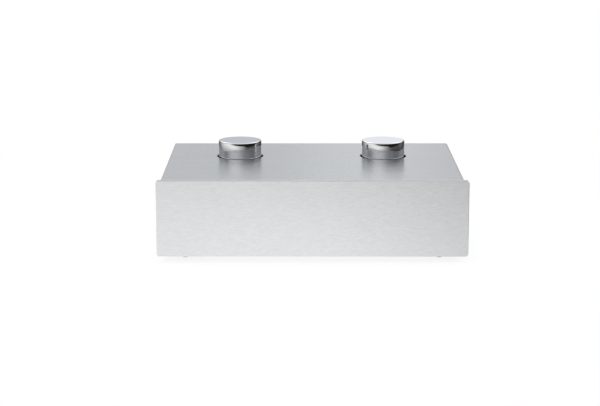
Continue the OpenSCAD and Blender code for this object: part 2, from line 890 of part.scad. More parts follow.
// Four contacts, each a tube for the plug's pin with a leg bent down to the board
module socket_contacts() {
    in_frame() color("goldenrod") at_sockets() {
        difference() {
            bar_y(0, 0, socket_start_y, contact_end_y, contact_r);
            bar_y(0, 0, contact_end_y - contact_bore_l, contact_end_y + overrun, pin_hole_r);
        }
        bar_y(0, 0, socket_start_y - contact_leg_offset, socket_start_y + overrun, contact_leg_w / 2,
              $fn = small_fn);
        contact_leg(0);
    }
}

module socket_washers() {
    in_frame() color("black") at_sockets()
        tube_y(0, 0, rear_outer_y, rear_outer_y + socket_washer_t, socket_washer_r,
               socket_thread_r + thread_gap);
}

module socket_nuts() {
    in_frame() color("gold") at_sockets()
        hex_nut_y(0, 0, rear_outer_y + socket_washer_t, socket_nut_t, socket_nut_af,
                  socket_thread_r + thread_gap);
}

// Balanced sockets

// Flange and tube of one balanced socket, open at the back
module balanced_housing(side) {
    in_frame() color("silver") difference() {
        translate([side * balanced_x, 0, balanced_z]) difference() {
            union() {
                slab(rear_outer_y, rear_outer_y + balanced_flange_t)
                    rounded_rect(balanced_flange_w, balanced_flange_h, balanced_corner_r);
                bar_y(0, 0, rear_outer_y, balanced_mouth_y, balanced_collar_r);
                bar_y(0, 0, balanced_body_y, rear_outer_y + overrun, balanced_body_r);
            }
            bar_y(0, 0, balanced_body_y - overrun, balanced_mouth_y + overrun, cavity_r);
        }
        at_balanced_screws(side) {
            translate([0, 0, -balanced_screw_l])
                cylinder(r = screw_r + hole_gap, h = balanced_screw_l + overrun);
            translate([0, 0, -balanced_screw_head_h - hole_gap]) balanced_screw_head(hole_gap);
        }
    }
}

module balanced_housing_left() { balanced_housing(left); }
module balanced_housing_right() { balanced_housing(right); }

// Where each of one balanced socket's three pins lies, and how far forward its leg stands
function balanced_pin_x(side, a) = side * balanced_x + balanced_pin_circle_r * cos(a);
function balanced_pin_z(a) = balanced_z + balanced_pin_circle_r * sin(a);
function balanced_leg_y(a) = balanced_body_y - balanced_tail_l - (a < 0 ? 0 : balanced_tail_step);

// Places what it is given on the axis of each of one balanced socket's three pins
module at_balanced_pins(side) {
    for (a = balanced_pin_angles) translate([balanced_pin_x(side, a), 0, balanced_pin_z(a)]) children();
}

// Two moulded discs that hold the pins
module balanced_inserts() {
    in_frame() color("black") for (side = sides) difference() {
        bar_y(side * balanced_x, balanced_z, insert_y, cavity_y, cavity_r - insert_gap);
        at_balanced_pins(side)
            bar_y(0, 0, insert_y - overrun, cavity_y + overrun, balanced_pin_r + thread_gap, $fn = small_fn);
    }
}

// The legs of one balanced socket's pins down to the board, grown on each side by a gap
module balanced_tails(side, gap) {
    w = balanced_tail_w + 2 * gap;
    bottom = board_z - lead_below;
    for (a = balanced_pin_angles)
        translate([balanced_pin_x(side, a), balanced_leg_y(a), (balanced_pin_z(a) + bottom) / 2])
            cube([w, w, balanced_pin_z(a) - bottom], center = true);
}

// Six pins, each with a thinner tail that turns down to the board
module balanced_pins() {
    pin_l = balanced_mouth_y - balanced_pin_short - insert_y;
    in_frame() color("goldenrod") for (side = sides) {
        at_balanced_pins(side) turned_y(0, 0, insert_y, $fn = small_fn) polygon([
            [0, 0],
            [balanced_pin_r, 0],
            [balanced_pin_r, pin_l - balanced_pin_tip],
            [balanced_pin_r - balanced_pin_tip, pin_l],
            [0, pin_l]
        ]);
        for (a = balanced_pin_angles)
            bar_y(balanced_pin_x(side, a), balanced_pin_z(a), balanced_leg_y(a), insert_y + overrun,
                  balanced_tail_w / 2, $fn = small_fn);
        balanced_tails(side, 0);
    }
}

// The countersunk head of a balanced socket's screw, grown all round by a gap
module balanced_screw_head(gap) {
    cylinder(r1 = screw_r + gap, r2 = balanced_screw_head_r + gap, h = balanced_screw_head_h + gap);
}

// Two countersunk screws for each balanced socket
module balanced_screws() {
    in_frame() color("silver") for (side = sides) at_balanced_screws(side) difference() {
        union() {
            translate([0, 0, -balanced_screw_l]) cylinder(r = screw_r, h = balanced_screw_l);
            translate([0, 0, -balanced_screw_head_h]) balanced_screw_head(0);
        }
        translate([0, 0, -screw_socket_depth])
            cylinder(r = screw_socket_r, h = screw_socket_depth + overrun, $fn = 6);
    }
}

// Ratio switches

// Two moulded switch bodies behind the rear panel
module ratio_switch_bodies() {
    in_frame() color("firebrick") for (side = sides)
        translate([side * switch_x - switch_body_w / 2, switch_body_y, switch_z - switch_body_h / 2])
            cube([switch_body_w, switch_body_d, switch_body_h]);
}

// The metal frame and threaded bushing of each switch, with cross holes for the lever's pivot pin
module ratio_switch_bushings() {
    in_frame() color("silver") for (side = sides) translate([side * switch_x, 0, switch_z]) difference() {
        union() {
            translate([-switch_body_w / 2, rear_inner_y - switch_frame_t, -switch_body_h / 2])
                cube([switch_body_w, switch_frame_t, switch_body_h]);
            bar_y(0, 0, rear_inner_y - switch_frame_t, bushing_end_y, bushing_r);
        }
        bar_y(0, 0, rear_inner_y - switch_frame_t - overrun, bushing_end_y + overrun, bushing_bore_r);
        translate([-bushing_r - overrun, pivot_y, 0]) rotate([0, 90, 0])
            cylinder(r = pivot_pin_r + pivot_pin_gap, h = 2 * (bushing_r + overrun), $fn = small_fn);
    }
}

module ratio_switch_nuts() {
    in_frame() color("silver") for (side = sides) translate([side * switch_x, 0, switch_z])
        hex_nut_y(0, 0, rear_outer_y, switch_nut_t, switch_nut_af, bushing_r + thread_gap);
}

// The bent terminals of one switch, grown on each side by a gap
module switch_terminals(side, gap) {
    w = terminal_w + 2 * gap;
    bottom = board_z - lead_below;
    for (row = [0, 1], column = [-1, 0, 1]) {
        x = side * switch_x + column * terminal_pitch;
        y = switch_body_y - terminal_reach - row * terminal_step;
        top = switch_z + (2 * row - 1) * terminal_row_z + terminal_w / 2;
        translate([x - w / 2, y - w / 2, bottom]) cube([w, w, top - bottom]);
        translate([x - w / 2, y - w / 2, top - terminal_w]) cube([w, switch_body_y - y + w / 2, terminal_w]);
    }
}

module ratio_switch_terminals() {
    in_frame() color("goldenrod") for (side = sides) switch_terminals(side, 0);
}

// Two pins that the levers turn on
module lever_pivot_pins() {
    in_frame() color("silver") for (side = sides)
        translate([side * switch_x - bushing_r, pivot_y, switch_z]) rotate([0, 90, 0])
            cylinder(r = pivot_pin_r, h = 2 * bushing_r, $fn = small_fn);
}

// Half of a lever's outline: a ball at the pivot, a stem that widens to a round tip, and a short tail
module lever_section() {
    intersection() {
        circle(ball_r);
        translate([0, -ball_r]) square([ball_r, 2 * ball_r]);
    }
    polygon([[0, 0], [lever_root_r, 0], [lever_tip_r, lever_l - lever_tip_r], [0, lever_l - lever_tip_r]]);
    translate([0, lever_l - lever_tip_r]) intersection() {
        circle(lever_tip_r);
        square(lever_tip_r);
    }
    translate([0, -lever_tail_l]) square([lever_tail_r, lever_tail_l]);
}

// A bat-shaped lever on its pivot pin, drawn in its lower position
module ratio_lever(side) {
    in_frame() color("gainsboro") translate([side * switch_x, pivot_y, switch_z]) rotate([-lever_swing, 0, 0])
        difference() {
            turned_y(0, 0, 0) lever_section();
            rotate([0, 90, 0])
                cylinder(r = pivot_pin_r + pivot_gap, h = 2 * (ball_r + overrun), center = true,
                         $fn = small_fn);
        }
}

module ratio_lever_left() { ratio_lever(left); }
module ratio_lever_right() { ratio_lever(right); }

// Ground post

// Threaded stud with a fixed collar outside the rear panel
module ground_post() {
    seat = post_inside_l + rear_panel_t;
    tip = seat + stud_reach;
    in_frame() color("gold") turned_y(0, post_z, rear_inner_y - post_inside_l) polygon([
        [0, 0],
        [stud_r, 0],
        [stud_r, seat],
        [post_collar_r, seat],
        [post_collar_r, seat + post_collar_t],
        [stud_r, seat + post_collar_t],
        [stud_r, tip - post_chamfer],
        [stud_r - post_chamfer, tip],
        [0, tip]
    ]);
}

module ground_post_nut() {
    in_frame() color("silver")
        hex_nut_y(0, post_z, rear_inner_y - post_nut_t, post_nut_t, post_nut_af, stud_r + thread_gap);
}

module ground_washer() {
    in_frame() color("silver")
        tube_y(0, post_z, washer_y, washer_y + post_washer_t, post_washer_r, stud_r + post_washer_gap);
}

// Thumb nut with a straight knurl and a chamfer at each end
module ground_thumb_nut() {
    teeth = 2 * knurl_count;
    end_r = thumb_nut_r - thumb_chamfer;
    cone_h = thumb_chamfer + overrun;
    in_frame() color("gold") difference() {
        intersection() {
            translate([0, 0, post_z]) slab(thumb_y, thumb_y + thumb_nut_l) polygon([
                for (i = [0 : teeth - 1])
                    let (r = thumb_nut_r - (i % 2) * knurl_depth, a = i * 360 / teeth)
                    [r * cos(a), r * sin(a)]
            ]);
            turned_y(0, post_z, thumb_y) polygon([
                [0, 0],
                [end_r, 0],
                [end_r + cone_h, cone_h],
                [end_r + cone_h, thumb_nut_l - cone_h],
                [end_r, thumb_nut_l],
                [0, thumb_nut_l]
            ]);
        }
        bar_y(0, post_z, thumb_y - overrun, thumb_y + thumb_nut_l + overrun, stud_r + thumb_bore_gap);
    }
}

front_panel();
top_cover();
base_tray();
rear_panel();
front_panel_screws();
cover_screws();
rear_panel_screws();
foot_front_left();
foot_front_right();
foot_rear_left();
foot_rear_right();
circuit_board();
board_standoffs();
board_screws();
transformer_can_left();
transformer_can_right();
transformer_core_left();
transformer_core_right();
coil_formers_left();
coil_formers_right();
primary_windings_left();
primary_windings_right();
secondary_windings_left();
secondary_windings_right();
transformer_base_left();
transformer_base_right();
transformer_pins_left();
transformer_pins_right();
foam_pad_left();
foam_pad_right();
load_resistors();
input_socket_left();
input_socket_right();
output_socket_left();
output_socket_right();
socket_blocks();
socket_insulators_left();
socket_insulators_right();
socket_contacts();
socket_washers();
socket_nuts();
balanced_housing_left();
balanced_housing_right();
balanced_inserts();
balanced_pins();
balanced_screws();
ratio_switch_bodies();
ratio_switch_bushings();
ratio_switch_nuts();
ratio_switch_terminals();
lever_pivot_pins();
ratio_lever_left();
ratio_lever_right();
ground_post();
ground_post_nut();
ground_washer();
ground_thumb_nut();
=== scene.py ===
"""Looks of the step-up transformer: materials, small turned and wound details, studio and camera."""

import json
import math

import bmesh
import bpy
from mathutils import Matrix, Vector


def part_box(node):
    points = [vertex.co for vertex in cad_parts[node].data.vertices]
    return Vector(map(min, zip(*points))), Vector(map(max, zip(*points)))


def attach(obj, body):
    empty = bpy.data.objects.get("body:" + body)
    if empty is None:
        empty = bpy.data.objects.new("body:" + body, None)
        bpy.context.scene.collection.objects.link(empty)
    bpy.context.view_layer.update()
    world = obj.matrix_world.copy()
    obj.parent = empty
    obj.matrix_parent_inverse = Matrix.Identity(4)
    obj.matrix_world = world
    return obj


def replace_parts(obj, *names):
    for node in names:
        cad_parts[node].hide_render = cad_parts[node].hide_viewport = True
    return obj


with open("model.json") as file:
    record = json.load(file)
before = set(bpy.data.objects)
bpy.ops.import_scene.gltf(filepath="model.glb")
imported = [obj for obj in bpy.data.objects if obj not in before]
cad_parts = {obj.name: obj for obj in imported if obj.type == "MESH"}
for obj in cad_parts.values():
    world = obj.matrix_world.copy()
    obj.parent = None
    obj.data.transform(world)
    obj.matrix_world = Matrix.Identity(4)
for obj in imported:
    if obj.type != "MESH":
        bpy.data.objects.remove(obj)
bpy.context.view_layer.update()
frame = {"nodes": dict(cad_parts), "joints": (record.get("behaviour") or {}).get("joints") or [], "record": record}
scene = bpy.context.scene
scene.view_settings.view_transform = "Standard"

MM = 0.001
METAL, PLAIN = 1.0, 0.0
NOISE_LOW, NOISE_HIGH = 0.3, 0.7  # nearly all of a noise texture lies between them


# Shader helpers

class Shader:
    """A node tree with short calls for the nodes that the materials here use."""

    def __init__(self, tree):
        self.tree = tree
        self.tree.nodes.clear()

    def node(self, kind, **values):
        made = self.tree.nodes.new(kind)
        for key, value in values.items():
            setattr(made, key, value)
        return made

    def link(self, source, target):
        self.tree.links.new(source, target)

    def feed(self, socket, value):
        """Sets a socket to a number or colour, or links it to another node's output."""
        if hasattr(value, "is_output"):
            self.link(value, socket)
        else:
            socket.default_value = value

    def paint(self, socket, colour):
        """Feeds a colour socket from red, green and blue, or from another node's output."""
        self.feed(socket, (*colour, 1.0) if isinstance(colour, tuple) else colour)

    def maths(self, operation, *values):
        made = self.node("ShaderNodeMath", operation=operation)
        for socket, value in zip(made.inputs, values):
            self.feed(socket, value)
        return made.outputs[0]

    def place(self, stretch=(1, 1, 1)):
        """Object coordinates, which are the shared frame's metres, stretched."""
        where = self.node("ShaderNodeTexCoord").outputs["Object"]
        made = self.node("ShaderNodeMapping")
        self.link(where, made.inputs["Vector"])
        made.inputs["Scale"].default_value = stretch
        return made.outputs["Vector"]

    def upright(self):
        """How far a face looks up: 1 on a level top, 0 on a wall."""
        split = self.node("ShaderNodeSeparateXYZ")
        self.link(self.node("ShaderNodeNewGeometry").outputs["Normal"], split.inputs[0])
        return split.outputs["Z"]

    def noise(self, scale, where, detail=2.0, rough=0.5, warp=0.0):
        made = self.node("ShaderNodeTexNoise")
        self.link(where, made.inputs["Vector"])
        for name, value in (("Scale", scale), ("Detail", detail), ("Roughness", rough), ("Distortion", warp)):
            made.inputs[name].default_value = value
        return made.outputs["Fac"]

    def map_range(self, kind, value, *numbers):
        """A value moved from one range to another: numbers are the first range's ends, then the second's."""
        made = self.node("ShaderNodeMapRange", interpolation_type=kind)
        self.feed(made.inputs["Value"], value)
        for name, number in zip(("From Min", "From Max", "To Min", "To Max"), numbers):
            made.inputs[name].default_value = number
        return made.outputs["Result"]

    def band(self, value, low, high, to_low=0.0, to_high=1.0):
        """A smooth step between two values."""
        return self.map_range("SMOOTHSTEP", value, low, high, to_low, to_high)

    def slope(self, value, low, high, to_low, to_high):
        """A straight change between two values, and level outside them."""
        return self.map_range("LINEAR", value, low, high, to_low, to_high)

    def ramp(self, value, low, high):
        """A noise value, spread over the range from low to high."""
        return self.slope(value, NOISE_LOW, NOISE_HIGH, low, high)

    def tint(self, colour, by):
        """The colour times a value."""
        made = self.node("ShaderNodeMix", data_type="RGBA", blend_type="MULTIPLY")
        made.inputs["Factor"].default_value = 1.0
        self.paint(made.inputs["A"], colour)
        grey = self.node("ShaderNodeCombineColor")
        for socket in grey.inputs:
            self.link(by, socket)
        self.link(grey.outputs["Color"], made.inputs["B"])
        return made.outputs["Result"]

    def blend(self, by, first, second):
        """From the first colour to the second, by a value."""
        made = self.node("ShaderNodeMix", data_type="RGBA")
        self.feed(made.inputs["Factor"], by)
        for name, colour in (("A", first), ("B", second)):
            self.paint(made.inputs[name], colour)
        return made.outputs["Result"]

    def bump(self, height, strength, distance, under=None):
        """Relief from a height between 0 and 1, over another relief where one is given."""
        made = self.node("ShaderNodeBump")
        made.inputs["Strength"].default_value = strength
        made.inputs["Distance"].default_value = distance
        self.link(height, made.inputs["Height"])
        if under is not None:
            self.link(under, made.inputs["Normal"])
        return made.outputs["Normal"]


def material(name, metallic, build, **more):
    """A material on one Principled shader. build gets the Shader and returns what the sockets hold."""
    made = bpy.data.materials.new(name)
    made.use_nodes = True
    s = Shader(made.node_tree)
    principled = s.node("ShaderNodeBsdfPrincipled")
    out = s.node("ShaderNodeOutputMaterial")
    s.link(principled.outputs["BSDF"], out.inputs["Surface"])
    for key, value in {"Metallic": metallic, **build(s), **more}.items():
        s.feed(principled.inputs[key], value)
    return made


def grained(name, colour, metallic, roughness, stretch, scale, vary, rough_vary, strength, depth, more):
    """A surface with one grain that varies its colour, its roughness and its relief."""
    def build(s):
        grain = s.noise(scale, s.place(stretch), 3.0, 0.6)
        return {
            "Base Color": s.tint(colour, s.ramp(grain, 1.0 - vary, 1.0 + vary)),
            "Roughness": s.ramp(grain, roughness - rough_vary, roughness + rough_vary),
            "Normal": s.bump(grain, strength, depth * MM),
        }
    return material(name, metallic, build, **more)


# Materials

# How often each pattern changes in a metre of X, Y and Z
HAIR = (260, 1500, 9000)
STROKE = (230, 900, 1150)
PANEL_CLOUD = (28, 28, 55)
HAIR_SHARE, STROKE_SHARE = 0.45, 0.55
STROKE_WARP = 1.4
PANEL_COLOUR = (0.905, 0.913, 0.917)
PANEL_TOP_SHADE = 0.62  # brightness of the panel's faces that look up, a painted shade that darkens its upper edge beside the face


def front_plate_build(s):
    """Aluminium brushed along X: a fine hairline, a wavy mottle of short strokes and a slow cloud.
    The faces that look up, along the upper edge, are darkened by painted shade."""
    hair = s.noise(1.0, s.place(HAIR), 2.0, 0.6)
    stroke = s.noise(1.0, s.place(STROKE), 3.0, 0.55, STROKE_WARP)
    cloud = s.noise(1.0, s.place(PANEL_CLOUD), 1.0, 0.5)
    both = s.maths("MULTIPLY_ADD", hair, HAIR_SHARE, s.maths("MULTIPLY", stroke, STROKE_SHARE))
    shade = s.maths("MULTIPLY", s.ramp(both, 0.9, 1.1), s.ramp(cloud, 0.993, 1.007))
    # painted shade: faces that look up are made darker than the face
    shade = s.maths("MULTIPLY", shade, s.band(s.upright(), 0.4, 0.9, 1.0, PANEL_TOP_SHADE))
    return {
        "Base Color": s.tint(PANEL_COLOUR, shade),
        "Roughness": s.ramp(both, 0.36, 0.46),
        "Normal": s.bump(both, 0.16, 0.05 * MM),
        "Anisotropic": 0.5,
        "Anisotropic Rotation": 0.25,
    }


# How often each pattern of the satin sheets changes in a metre
SHEET_FLECK, SHEET_PEEL, SHEET_CLOUD = 2600.0, 420.0, 22.0


def satin_sheet(name, colour, roughness):
    """Sheet with a fine even satin texture, faint large clouds and a slight orange peel."""
    def build(s):
        here = s.place()
        fleck = s.noise(SHEET_FLECK, here, 2.0, 0.6)
        peel = s.noise(SHEET_PEEL, here, 1.0, 0.5)
        cloud = s.noise(SHEET_CLOUD, here, 2.0, 0.5)
        shade = s.maths("MULTIPLY", s.ramp(fleck, 0.985, 1.015), s.ramp(cloud, 0.995, 1.005))
        return {
            "Base Color": s.tint(colour, shade),
            "Roughness": s.maths("ADD", s.ramp(fleck, roughness - 0.015, roughness + 0.015),
                                 s.ramp(cloud, -0.005, 0.005)),
            "Normal": s.bump(fleck, 0.03, 0.02 * MM, s.bump(peel, 0.01, 0.03 * MM)),
        }
    return material(name, METAL, build)


# Heights over the floor: the can's wall is in the hole's shade below the first two, and bends between the others
HOLE_SHADE_FROM, HOLE_SHADE_TO = 54.0 * MM, 54.9 * MM
BEND_FROM, BEND_TO = 59.0 * MM, 65.6 * MM
BEND_SLOPE = 0.16
HOLE_SHADE = 0.3
# The lid's colour is bluer than the wall's: a painted reflection of the bluish studio in the flat top
LID_REFLECTION_COLOUR, WALL_COLOUR = (0.80, 0.81, 0.895), (0.815, 0.82, 0.83)
CAN_RINGS, CAN_HAZE = (40, 40, 2600), 90.0


def can_build(s):
    """Polished alloy. Drawing leaves faint rings round the wall, and bends the wall in a little towards the lid."""
    rings = s.noise(1.0, s.place(CAN_RINGS), 2.0, 0.6)
    haze = s.noise(CAN_HAZE, s.place(), 2.0, 0.5)
    height = s.node("ShaderNodeSeparateXYZ")
    s.link(s.place(), height.inputs[0])
    wall = s.band(s.maths("ABSOLUTE", s.upright()), 0.2, 0.5, 1.0, 0.0)
    bend = s.slope(height.outputs["Z"], BEND_FROM, BEND_TO, 0.0, BEND_SLOPE)
    lift = s.node("ShaderNodeCombineXYZ")
    s.link(s.maths("MULTIPLY", wall, bend), lift.inputs["Z"])
    bent = s.node("ShaderNodeVectorMath", operation="ADD")
    s.link(s.node("ShaderNodeNewGeometry").outputs["Normal"], bent.inputs[0])
    s.link(lift.outputs[0], bent.inputs[1])
    unit = s.node("ShaderNodeVectorMath", operation="NORMALIZE")
    s.link(bent.outputs[0], unit.inputs[0])
    # painted reflection: faces that look up take the bluer lid colour, walls the plain alloy colour
    colour = s.blend(wall, LID_REFLECTION_COLOUR, WALL_COLOUR)
    shade = s.maths("MULTIPLY", s.ramp(haze, 0.99, 1.01),
                    s.band(height.outputs["Z"], HOLE_SHADE_FROM, HOLE_SHADE_TO, HOLE_SHADE, 1.0))
    return {
        "Base Color": s.tint(colour, shade),
        "Roughness": s.maths("ADD", s.ramp(haze, 0.03, 0.06), s.ramp(rings, -0.01, 0.01)),
        "Normal": s.bump(rings, 0.01, 0.002 * MM, unit.outputs[0]),
    }


TRACK_LENGTH, TRACK_PITCH, TRACK_GAP = 41 * MM, 3.4 * MM, 0.25 * MM
TRACK_OFFSET = 0.37  # how far each row of tracks starts after the last, in track lengths
BARE_GREEN, TRACK_GREEN = (0.007, 0.07, 0.028), (0.012, 0.125, 0.046)
WEAVE, WEFT = (2400, 600, 1), (600, 2400, 1)


def board_build(s):
    """Green solder mask over woven glass, with long copper tracks that show through as a lighter green."""
    weave = s.noise(1.0, s.place(WEAVE), 1.0, 0.5)
    weft = s.noise(1.0, s.place(WEFT), 1.0, 0.5)
    tracks = s.node("ShaderNodeTexBrick", offset=TRACK_OFFSET)
    s.link(s.place(), tracks.inputs["Vector"])
    for socket, value in (("Scale", 1.0), ("Brick Width", TRACK_LENGTH), ("Row Height", TRACK_PITCH),
                          ("Mortar Size", TRACK_GAP), ("Mortar Smooth", 0.0)):
        tracks.inputs[socket].default_value = value
    copper = s.maths("SUBTRACT", 1.0, tracks.outputs["Fac"])
    cloth = s.maths("ADD", s.maths("MULTIPLY", weave, 0.5), s.maths("MULTIPLY", weft, 0.5))
    return {
        "Base Color": s.blend(copper, s.tint(BARE_GREEN, s.ramp(cloth, 0.85, 1.15)),
                              s.tint(TRACK_GREEN, s.ramp(cloth, 0.93, 1.07))),
        "Roughness": s.ramp(cloth, 0.26, 0.36),
        "Normal": s.bump(copper, 0.4, 0.03 * MM, s.bump(cloth, 0.1, 0.02 * MM)),
    }


GOLD = (0.87, 0.6, 0.23)
TOOL_RINGS, GOLD_CLOUD = (60, 7000, 60), 350.0


def turned_gold_build(s):
    """Gold plate over a turned surface, with fine tool rings along Y."""
    rings = s.noise(1.0, s.place(TOOL_RINGS), 2.0, 0.6)
    cloud = s.noise(GOLD_CLOUD, s.place(), 2.0, 0.5)
    return {
        "Base Color": s.tint(GOLD, s.ramp(cloud, 0.96, 1.04)),
        "Roughness": s.maths("ADD", s.ramp(rings, 0.13, 0.2), s.ramp(cloud, -0.02, 0.02)),
        "Normal": s.bump(rings, 0.08, 0.012 * MM),
    }


EVEN = (1, 1, 1)
COATED = {"Coat Weight": 0.6, "Coat Roughness": 0.12}
LACQUERED = {"Coat Weight": 0.4, "Coat Roughness": 0.08}
MILKY = {"Subsurface Weight": 0.05, "Subsurface Radius": (0.6 * MM, 0.5 * MM, 0.4 * MM)}

# Slot: name, colour, metal or plain, roughness, stretch and scale of the grain, its change of colour and of
# roughness, strength of its relief, depth of it in millimetres, and more sockets
GRAINED = {
    "screw_steel": ("screw_steel", (0.56, 0.56, 0.57), METAL, 0.26, EVEN, 1800, 0.05, 0.06, 0.08, 0.02, {}),
    "foot_rubber": ("foot_rubber", (0.035, 0.035, 0.036), PLAIN, 0.72, EVEN, 2200, 0.2, 0.08, 0.3, 0.03, {}),
    "pillar_brass": ("pillar_brass", (0.62, 0.44, 0.17), METAL, 0.3, (1, 1, 8), 700, 0.05, 0.06, 0.08, 0.02, {}),
    "core_strip": ("core_strip_wound", (0.2, 0.2, 0.22), METAL, 0.38, (300, 9000, 300), 1.0, 0.12, 0.08, 0.3, 0.03,
                   {}),
    "former_plastic": ("former_plastic", (0.68, 0.64, 0.5), PLAIN, 0.5, EVEN, 900, 0.03, 0.05, 0.1, 0.03, {}),
    "winding_copper": ("winding_copper_enamel", (0.62, 0.2, 0.06), METAL, 0.22, (1, 1, 4), 900, 0.08, 0.06, 0.1,
                       0.02, COATED),
    "base_plastic": ("base_plastic", (0.012, 0.012, 0.014), PLAIN, 0.42, EVEN, 1500, 0.1, 0.06, 0.1, 0.02, {}),
    "pin_gold": ("pin_gold", (0.86, 0.58, 0.21), METAL, 0.2, EVEN, 1600, 0.04, 0.05, 0.06, 0.02, {}),
    "pad_foam": ("pad_foam", (0.035, 0.035, 0.038), PLAIN, 0.95, EVEN, 1400, 0.4, 0.04, 0.9, 0.25, {}),
    "resistor_lacquer": ("resistor_lacquer", (0.36, 0.22, 0.1), PLAIN, 0.22, EVEN, 900, 0.08, 0.05, 0.1, 0.03,
                         LACQUERED),
    "socket_block_plastic": ("socket_block_plastic", (0.012, 0.012, 0.013), PLAIN, 0.45, EVEN, 1500, 0.1, 0.06,
                             0.12, 0.02, {}),
    "insulator_white": ("insulator_white", (0.76, 0.75, 0.72), PLAIN, 0.28, EVEN, 900, 0.02, 0.05, 0.05, 0.02,
                        MILKY),
    "insulator_red": ("insulator_red", (0.55, 0.012, 0.014), PLAIN, 0.28, EVEN, 900, 0.05, 0.05, 0.05, 0.02, {}),
    "washer_fibre": ("washer_fibre", (0.014, 0.014, 0.015), PLAIN, 0.6, EVEN, 2400, 0.2, 0.08, 0.3, 0.03, {}),
    "balanced_nickel": ("balanced_nickel", (0.58, 0.575, 0.56), METAL, 0.3, EVEN, 1300, 0.04, 0.06, 0.12, 0.03, {}),
    "balanced_insert_plastic": ("balanced_insert_plastic", (0.008, 0.008, 0.009), PLAIN, 0.5, EVEN, 1500, 0.1,
                                0.06, 0.15, 0.03, {}),
    "switch_body_plastic": ("switch_body_plastic", (0.25, 0.012, 0.012), PLAIN, 0.38, EVEN, 1200, 0.06, 0.06, 0.1,
                            0.03, {}),
    "switch_nickel": ("switch_nickel", (0.66, 0.65, 0.63), METAL, 0.14, (60, 60, 60), 20, 0.03, 0.04, 0.03, 0.02,
                      {}),
    "post_steel": ("post_steel", (0.55, 0.55, 0.55), METAL, 0.27, (200, 4000, 200), 1.0, 0.05, 0.06, 0.1, 0.02, {}),
}
FINISH = {
    "front_plate": material("front_plate_brushed", METAL, front_plate_build),
    "case_sheet": satin_sheet("case_sheet_satin", (0.565, 0.588, 0.608), 0.27),
    "tray_sheet": satin_sheet("tray_sheet_satin", (0.5, 0.51, 0.52), 0.38),
    "rear_sheet": satin_sheet("rear_sheet_satin", (0.54, 0.55, 0.56), 0.34),
    "can_alloy": material("can_alloy_polished", METAL, can_build),
    "board_laminate": material("board_laminate_green", PLAIN, board_build),
    "socket_gold": material("socket_gold_turned", METAL, turned_gold_build),
}
for slot_name, row in GRAINED.items():
    FINISH[slot_name] = grained(*row)
for part in frame["record"]["subparts"]:
    for slot in frame["nodes"][part["node"]].material_slots:
        slot.material = FINISH[part["material_slot"]]


# Detailed pieces

# Threads are their depth and pitch
STUD_THREAD = (0.32 * MM, 0.7 * MM)
STUD_R = 2.0 * MM
STUD_TIP = 0.4 * MM
COLLAR_EDGE = 0.3 * MM
BUSHING_THREAD = (0.16 * MM, 0.63 * MM)
BUSHING_R, BUSHING_INNER_R = 3.12 * MM, 2.9 * MM
BUSHING_END = 0.25 * MM  # plain end of the bushing, past its thread
THREAD_STEPS = 6  # rings to a turn of thread

# Each kind of winding: its gap round the limb, its thickness and the pitch of its turns
WINDINGS = {"primary": (0.85 * MM, 1.0 * MM, 0.5 * MM), "secondary": (1.9 * MM, 1.6 * MM, 0.4 * MM)}
WINDOW_HALF = 3.75 * MM  # half the width of the core's window, between its two limbs
GROOVE_SHARE = 0.4  # depth of the groove between two turns, in pitches
TURN_ROUND = ((0.0, 0.0), (0.2, 0.8), (0.5, 1.0), (0.8, 0.8))  # share of a turn, and how far it rises there
CORNER_STEPS = 5  # edges to a round corner

FOAM_MIDDLE, FOAM_ROUND = 0.05, 0.07  # radius of the smallest ring, and of the round edge, in radii of the disc
FOAM_FACE_STEPS, FOAM_EDGE_STEPS = 6, 8


def solid(name, finish, rings, loop=False, sharp=40):
    """A closed solid through rings of points, on the case. Its ends are closed by a middle point, or joined to each
    other. Edges of more than sharp degrees stay crisp."""
    bm = bmesh.new()
    rows = [[bm.verts.new(point) for point in ring] for ring in rings]
    count = len(rows[0])
    pairs = list(zip(rows, rows[1:])) + ([(rows[-1], rows[0])] if loop else [])
    for low, high in pairs:
        for i in range(count):
            j = (i + 1) % count
            bm.faces.new((low[i], low[j], high[j], high[i]))
    if not loop:
        for ring in (rows[0], rows[-1]):
            middle = bm.verts.new(sum((v.co for v in ring), Vector()) / count)
            for i in range(count):
                bm.faces.new((ring[i], ring[(i + 1) % count], middle))
    bmesh.ops.recalc_face_normals(bm, faces=bm.faces)
    for face in bm.faces:
        face.smooth = True
    for edge in bm.edges:
        edge.smooth = edge.calc_face_angle(0) < math.radians(sharp)
    mesh = bpy.data.meshes.new(name)
    bm.to_mesh(mesh)
    bm.free()
    made = bpy.data.objects.new(name, mesh)
    scene.collection.objects.link(made)
    mesh.materials.append(FINISH[finish])
    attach(made, "case")
    return made


def spread(start, end, step):
    """Even places from start to end, about a step apart."""
    count = max(1, round((end - start) / step))
    return [start + (end - start) * i / count for i in range(count + 1)]


def ring_y(x, y, z, r, thread=None, count=40):
    """A ring round Y. A thread is its depth and pitch, and cuts into the ring as a right-hand screw."""
    ring = []
    for i in range(count):
        a = 2 * math.pi * i / count
        cut = 0.0
        if thread:
            cut = thread[0] * abs(2 * ((y / thread[1] + i / count) % 1.0) - 1)
        ring.append((x + (r - cut) * math.cos(a), y, z + (r - cut) * math.sin(a)))
    return ring


def ring_z(x, y, z, r, count=64):
    """A ring round Z."""
    return [(x + r * math.cos(2 * math.pi * i / count), y + r * math.sin(2 * math.pi * i / count), z)
            for i in range(count)]


def limb_ring(x, y, z, half_w, half_d, grow):
    """A rectangle round a limb of the core, with its corners rounded by as much as it is grown."""
    points = []
    for corner, (sx, sy) in enumerate(((1, 1), (-1, 1), (-1, -1), (1, -1))):
        for i in range(CORNER_STEPS + 1):
            a = math.radians(90 * (corner + i / CORNER_STEPS))
            points.append((x + sx * half_w + grow * math.cos(a), y + sy * half_d + grow * math.sin(a), z))
    return points


